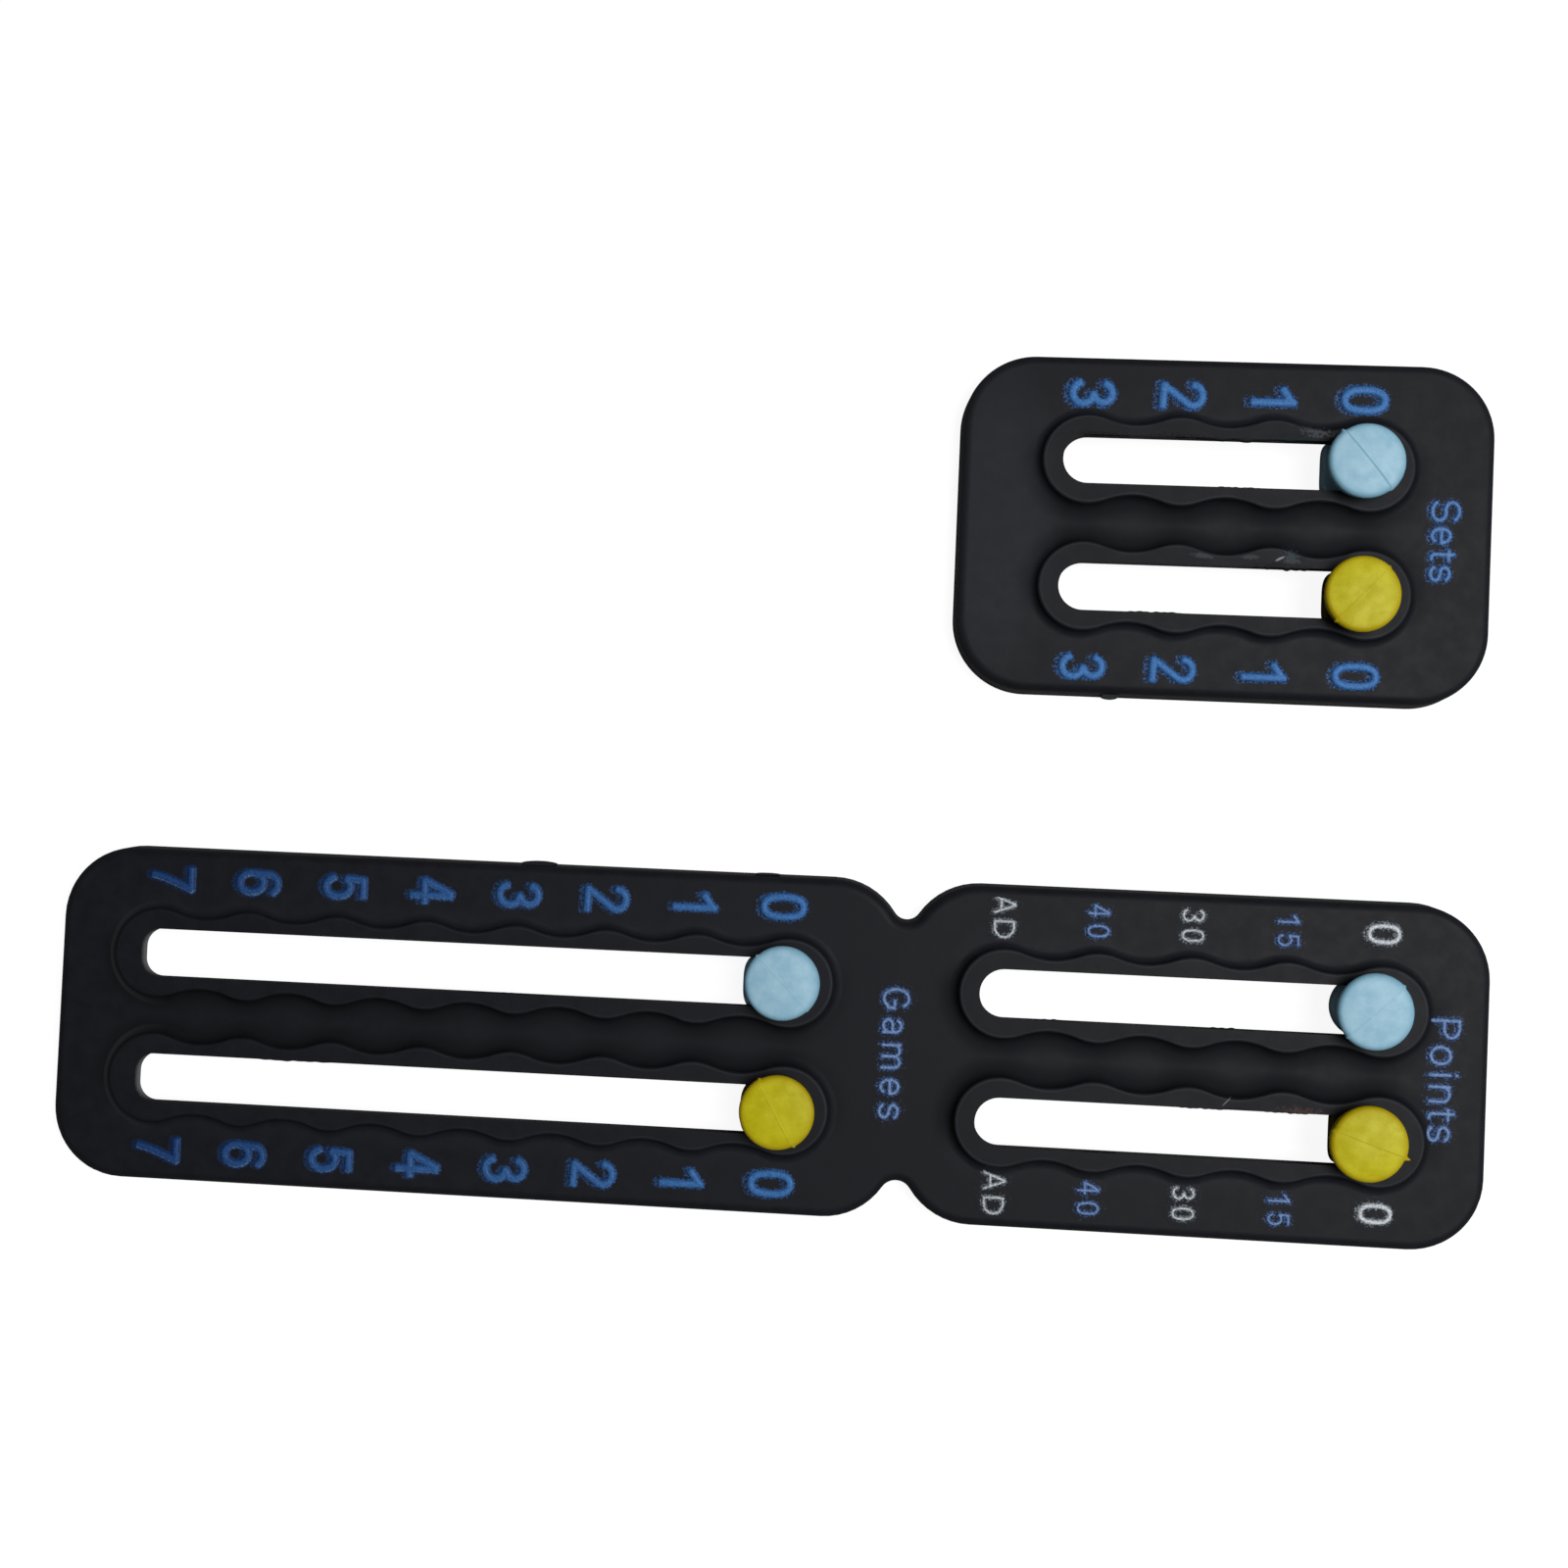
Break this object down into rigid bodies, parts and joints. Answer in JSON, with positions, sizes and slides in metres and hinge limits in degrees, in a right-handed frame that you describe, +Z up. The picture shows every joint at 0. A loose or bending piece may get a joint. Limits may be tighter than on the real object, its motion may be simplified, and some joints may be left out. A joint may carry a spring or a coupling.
{
  "type": "tennis score keeper",
  "caption": "Two flat rubber plates with long slots in which small beads slide from number to number, to keep games, points and sets.",
  "frame": {"origin": "middle of the long plate's flat back, on the surface that both plates lie on", "axes": "+X along the long plate from its highest numbers to its zeros, +Y across it towards the small plate, +Z up through the faces that carry the numbers"},
  "size_m": [0.148, 0.0899, 0.0073],
  "materials": {
    "black_rubber": "satin black moulded rubber",
    "blue_bead": "satin light blue soft plastic",
    "yellow_bead": "satin yellow soft plastic"
  },
  "bodies": {
    "long_plate": {"games_points_plate": "black_rubber"},
    "small_plate": {"sets_plate": "black_rubber"},
    "games_blue": {"games_blue_bead": "blue_bead"},
    "games_yellow": {"games_yellow_bead": "yellow_bead"},
    "points_blue": {"points_blue_bead": "blue_bead"},
    "points_yellow": {"points_yellow_bead": "yellow_bead"},
    "sets_blue": {"sets_blue_bead": "blue_bead"},
    "sets_yellow": {"sets_yellow_bead": "yellow_bead"}
  },
  "joints": [
    {"name": "sets_lift", "type": "slide", "parent": "long_plate", "child": "small_plate", "axis": [0, 0, 1], "range_m": [0, 0.03]},
    {"name": "games_blue_slide", "type": "slide", "parent": "long_plate", "child": "games_blue", "axis": [-1, 0, 0], "range_m": [-0.0004, 0.0652]},
    {"name": "games_yellow_slide", "type": "slide", "parent": "long_plate", "child": "games_yellow", "axis": [-1, 0, 0], "range_m": [-0.0004, 0.0652]},
    {"name": "points_blue_slide", "type": "slide", "parent": "long_plate", "child": "points_blue", "axis": [-1, 0, 0], "range_m": [-0.00135, 0.03641]},
    {"name": "points_yellow_slide", "type": "slide", "parent": "long_plate", "child": "points_yellow", "axis": [-1, 0, 0], "range_m": [-0.00135, 0.03641]},
    {"name": "sets_blue_slide", "type": "slide", "parent": "small_plate", "child": "sets_blue", "axis": [-1, 0, 0], "range_m": [-0.0009, 0.02742]},
    {"name": "sets_yellow_slide", "type": "slide", "parent": "small_plate", "child": "sets_yellow", "axis": [-1, 0, 0], "range_m": [-0.0009, 0.02742]}
  ]
}
